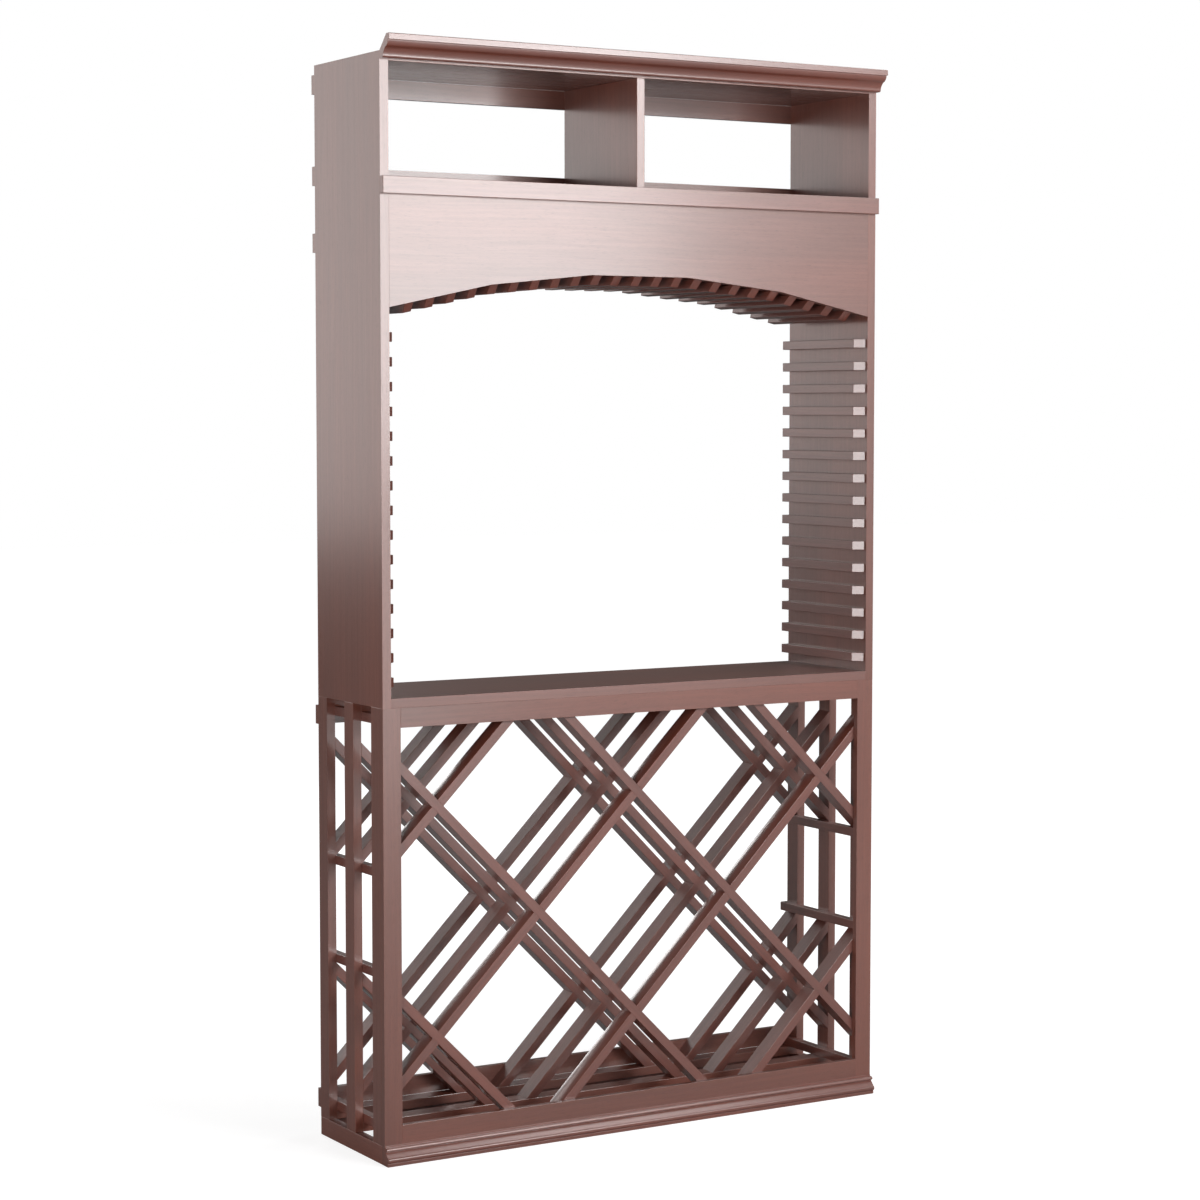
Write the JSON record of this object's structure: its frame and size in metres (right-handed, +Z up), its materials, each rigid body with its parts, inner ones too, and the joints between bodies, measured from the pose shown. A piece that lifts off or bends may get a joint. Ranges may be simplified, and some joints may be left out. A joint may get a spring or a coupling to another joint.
{
  "type": "wine tasting station",
  "caption": "Tall open wooden wine unit: bottle bins over an arched, slatted alcove with a counter board, above a diamond bottle rack.",
  "frame": {"origin": "on the floor, under the middle of the whole outline in width and depth", "axes": "+Z up, +X to the right seen from the front, the front faces -Y"},
  "size_m": [1.2, 0.351, 2.2395],
  "materials": {
    "board_wood": "satin",
    "frame_wood": "satin",
    "moulding_wood": "satin",
    "slat_wood": "satin",
    "screw_steel": "satin"
  },
  "bodies": {
    "root": {"apron_rail": "frame_wood", "arch_slats_1": "slat_wood", "arch_slats_2": "slat_wood", "arch_slats_3": "slat_wood", "arch_slats_4": "slat_wood", "arch_slats_5": "slat_wood", "arched_valance": "board_wood", "back_batten_arch": "frame_wood", "back_batten_base": "frame_wood", "back_batten_bins": "frame_wood", "back_batten_counter": "frame_wood", "back_batten_top": "frame_wood", "base_moulding": "moulding_wood", "batten_screws": "screw_steel", "bin_divider": "board_wood", "bin_shelf": "board_wood", "counter_board": "board_wood", "cross_rail_high_front": "frame_wood", "cross_rail_high_middle": "frame_wood", "cross_rail_high_rear": "frame_wood", "cross_rail_low_front": "frame_wood", "cross_rail_low_middle": "frame_wood", "cross_rail_low_rear": "frame_wood", "crown_moulding": "moulding_wood", "face_bottom_rail": "frame_wood", "face_stile_left": "frame_wood", "face_stile_right": "frame_wood", "ladder_stile_left_front": "frame_wood", "ladder_stile_left_middle": "frame_wood", "ladder_stile_left_rear": "frame_wood", "ladder_stile_right_front": "frame_wood", "ladder_stile_right_middle": "frame_wood", "ladder_stile_right_rear": "frame_wood", "rack_falling_front": "slat_wood", "rack_falling_middle": "slat_wood", "rack_falling_rear": "slat_wood", "rack_rising_front": "slat_wood", "rack_rising_middle": "slat_wood", "rack_rising_rear": "slat_wood", "rear_arch_board": "board_wood", "rear_sill": "frame_wood", "rung_left_bottom": "slat_wood", "rung_left_lower": "slat_wood", "rung_left_top": "slat_wood", "rung_left_upper": "slat_wood", "rung_right_bottom": "slat_wood", "rung_right_lower": "slat_wood", "rung_right_top": "slat_wood", "rung_right_upper": "slat_wood", "shelf_band": "moulding_wood", "side_panel_left": "board_wood", "side_panel_right": "board_wood", "side_sill_left": "frame_wood", "side_sill_right": "frame_wood", "side_slats_left": "slat_wood", "side_slats_right": "slat_wood", "top_panel": "board_wood"}
  },
  "joints": []
}
